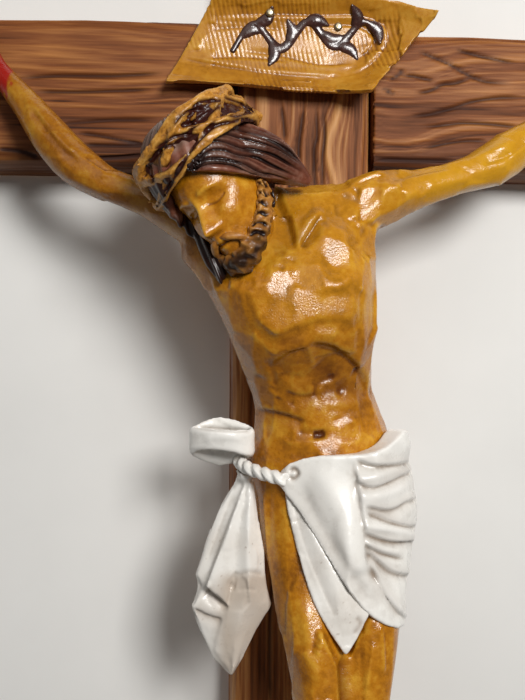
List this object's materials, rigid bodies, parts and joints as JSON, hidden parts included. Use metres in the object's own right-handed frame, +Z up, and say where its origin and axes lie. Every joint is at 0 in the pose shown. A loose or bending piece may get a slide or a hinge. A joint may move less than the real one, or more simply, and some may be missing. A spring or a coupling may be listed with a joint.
{
  "type": "carved wooden cross",
  "caption": "Hand-carved wall cross of half-lapped beams with a carved wooden figure, painted loincloth, woven crown of thorns and a small curled scroll board",
  "frame": {"origin": "centre of the crossing on the flat back of the beams, where the cross lies against the wall", "axes": "+X to the viewer's right, +Y into the wall, +Z up along the upright; the carved front faces -Y"},
  "size_m": [0.34, 0.096, 0.56],
  "materials": {
    "beams": "dark brown stain over deeply brushed grain, satin varnish",
    "scroll": "yellow ochre stain, glossy varnish",
    "skin": "honey ochre glaze with brown mottling, glossy varnish",
    "hair": "dark reddish brown paint, glossy varnish",
    "beard": "ochre curls with dark brown grooves, glossy varnish",
    "crown": "ochre twigs with dark brown hollows, glossy varnish",
    "cloth_paint": "ivory white paint with grey recesses, gloss",
    "dowels": "bare beech",
    "bright_steel": "bright steel",
    "dark_iron": "dark forged iron"
  },
  "bodies": {
    "root": {"upright_beam": "beams", "cross_beam": "beams", "titulus_scroll": "scroll", "lap_dowel_left": "dowels", "lap_dowel_right": "dowels", "scroll_pin_left": "bright_steel", "scroll_pin_right": "bright_steel", "corpus_screw": "bright_steel", "body": "skin", "right_arm": "skin", "left_arm": "skin", "head": "skin", "hair": "hair", "beard": "beard", "crown_of_thorns": "crown", "shoulder_dowel_right": "dowels", "shoulder_dowel_left": "dowels", "loincloth_wrap": "cloth_paint", "loincloth_panel": "cloth_paint", "loincloth_tail": "cloth_paint", "loincloth_bow": "cloth_paint", "loincloth_cord": "cloth_paint", "right_hand_nail": "dark_iron", "left_hand_nail": "dark_iron", "foot_nail": "dark_iron"}
  },
  "joints": []
}
